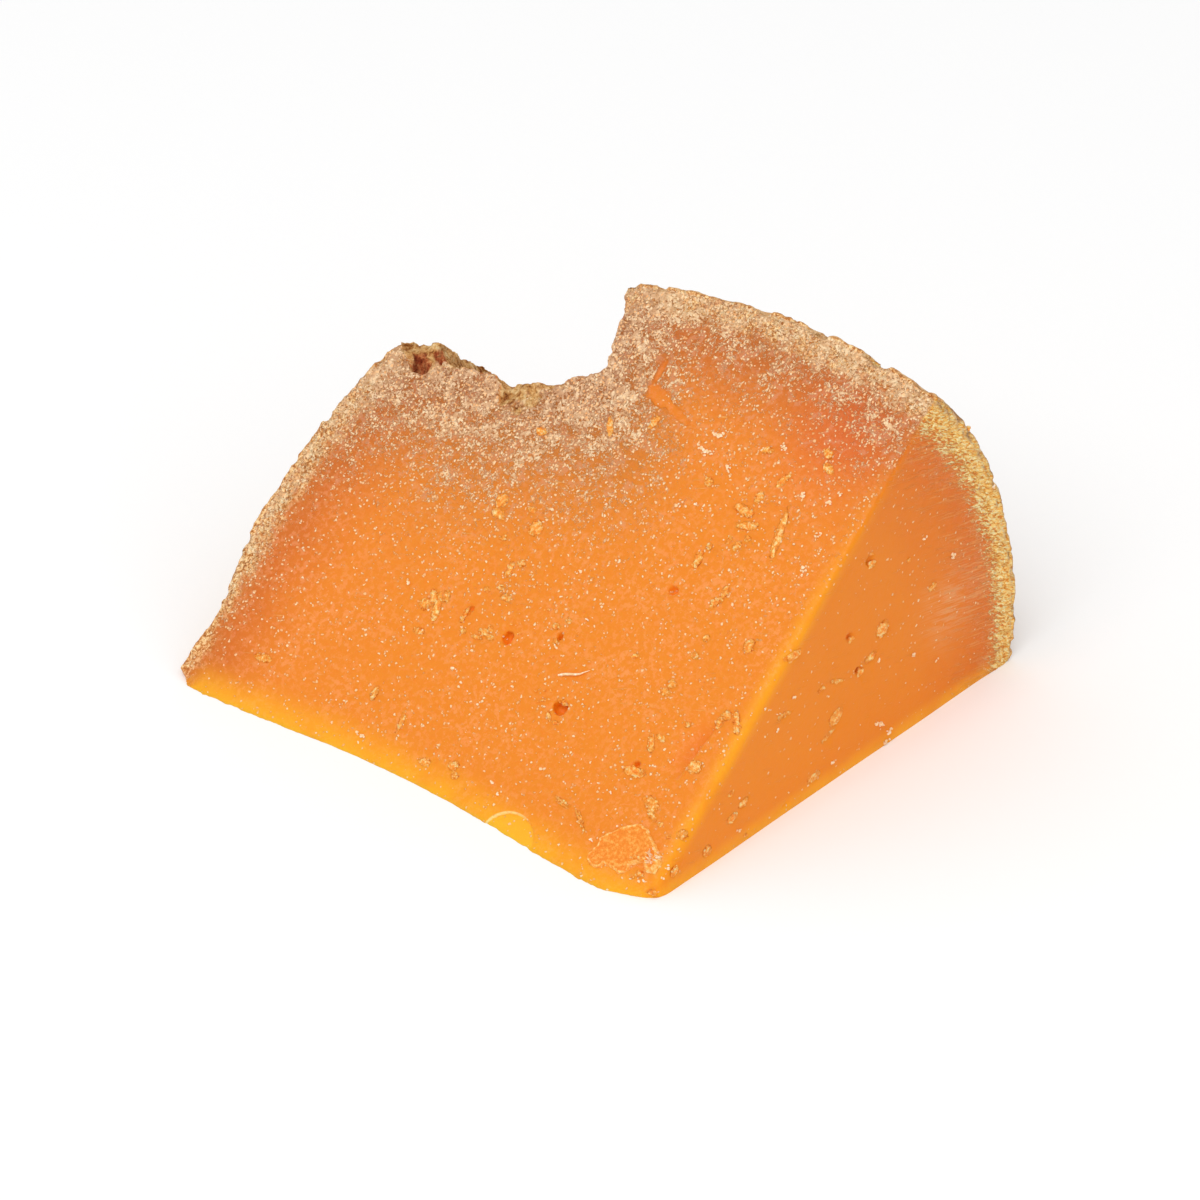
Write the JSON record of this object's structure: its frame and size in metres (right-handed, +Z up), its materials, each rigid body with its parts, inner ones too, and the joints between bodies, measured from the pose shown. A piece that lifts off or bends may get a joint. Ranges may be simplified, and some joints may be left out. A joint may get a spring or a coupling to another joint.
{
  "type": "cheese wedge",
  "caption": "Wedge of hard, aged orange cheese with a pitted rind, lying on its flat cut face, with a piece broken out of its rind.",
  "frame": {"origin": "bottom centre of the bounding box, on the cut face that the wedge lies on", "axes": "+Z up; X along the axis of the whole cheese, with the pole's rind towards -X and the cross cut facing +X; +Y from the thin front edge to the rind at the back"},
  "size_m": [0.1006, 0.0946, 0.0614],
  "materials": {
    "aged_cheese": "waxy satin paste, dusty matt rind"
  },
  "bodies": {
    "root": {"cheese_wedge": "aged_cheese"}
  },
  "joints": []
}
